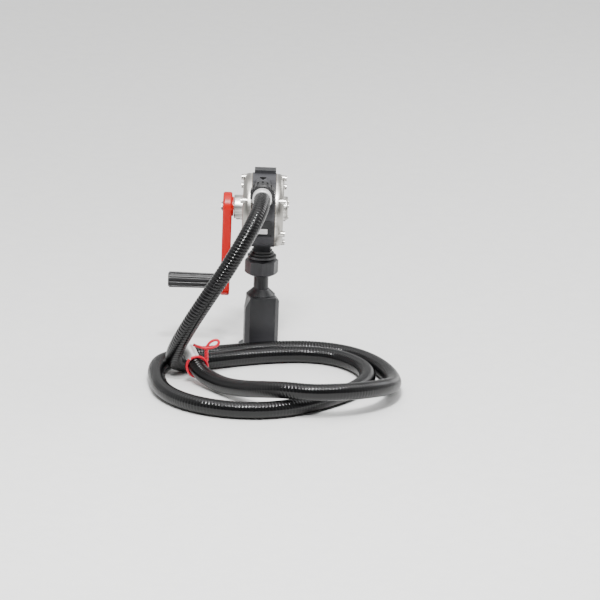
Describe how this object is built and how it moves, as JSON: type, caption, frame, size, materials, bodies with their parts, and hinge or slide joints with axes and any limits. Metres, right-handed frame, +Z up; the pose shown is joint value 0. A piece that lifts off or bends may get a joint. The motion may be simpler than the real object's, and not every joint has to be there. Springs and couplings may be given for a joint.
{
  "type": "drum barrel pump",
  "caption": "Hand-cranked rotary drum pump with bung adapter, telescopic suction tube and a coiled delivery hose with spout.",
  "frame": {"origin": "on the axis of the bung adapter, in the plane where its flange gasket seats on the drum bung", "axes": "+Z up along the bung and suction tube axis, -Y towards the outlet, crank shaft along X with the crank on the -X side"},
  "size_m": [0.3868, 0.4305, 0.6465],
  "materials": {
    "dark_paint": "satin",
    "cover_alloy": "satin as-cast",
    "zinc_plated": "bright plated",
    "hose_fitting_metal": "satin",
    "red_paint": "gloss",
    "black_plastic": "moulded",
    "hose_rubber": "gloss",
    "tie_plastic": "gloss",
    "label": "matte",
    "seal_rubber": "matte",
    "gasket_sheet": "matte",
    "machined_steel": "turned",
    "rotor_iron": "machined",
    "vane_plastic": "matte",
    "bronze": "bored"
  },
  "bodies": {
    "pump": {"adapter_sleeve": "dark_paint", "bearing_cap": "cover_alloy", "bearing_cap_screws": "zinc_plated", "bung_fitting": "dark_paint", "bung_gasket": "seal_rubber", "hose": "hose_rubber", "hose_ferrule": "hose_fitting_metal", "hose_tail": "hose_fitting_metal", "hose_tie": "tie_plastic", "left_bush": "bronze", "left_cover": "cover_alloy", "left_cover_gasket": "gasket_sheet", "left_cover_screws": "zinc_plated", "outer_tube_collar": "black_plastic", "outer_tube_seal": "seal_rubber", "outlet_ring": "black_plastic", "outlet_seal": "seal_rubber", "pump_body": "dark_paint", "rating_plate": "label", "right_bush": "bronze", "right_cover": "cover_alloy", "right_cover_gasket": "gasket_sheet", "right_cover_screws": "zinc_plated", "riser_seal": "seal_rubber", "riser_tube": "machined_steel", "seal_housing": "cover_alloy", "seal_housing_screw": "zinc_plated", "shaft_seal": "seal_rubber", "spout": "hose_fitting_metal", "suction_tube_outer": "machined_steel", "union_nut": "dark_paint", "union_seal": "seal_rubber"},
    "crank": {"crank_arm": "red_paint", "crank_screw": "zinc_plated", "crank_washer": "zinc_plated", "shaft": "machined_steel", "shaft_key": "machined_steel", "rotor": "rotor_iron", "vanes": "vane_plastic", "grip_pin": "zinc_plated"},
    "grip": {"grip": "black_plastic", "grip_cap": "black_plastic"},
    "middle_tube": {"suction_tube_middle": "machined_steel", "middle_tube_collar": "black_plastic", "middle_tube_seal": "seal_rubber"},
    "inner_tube": {"suction_tube_inner": "machined_steel", "foot_strainer": "black_plastic"}
  },
  "joints": [
    {"name": "crank_turn", "type": "hinge", "parent": "pump", "child": "crank", "pos_m": [0, 0, 0.228], "axis": [1, 0, 0], "continuous": true},
    {"name": "grip_spin", "type": "hinge", "parent": "crank", "child": "grip", "pos_m": [-0.1, 0, 0.1075], "axis": [1, 0, 0], "continuous": true},
    {"name": "middle_tube_slide", "type": "slide", "parent": "pump", "child": "middle_tube", "axis": [0, 0, -1], "range_m": [0, 0.26]},
    {"name": "inner_tube_slide", "type": "slide", "parent": "middle_tube", "child": "inner_tube", "axis": [0, 0, -1], "range_m": [0, 0.26]}
  ]
}
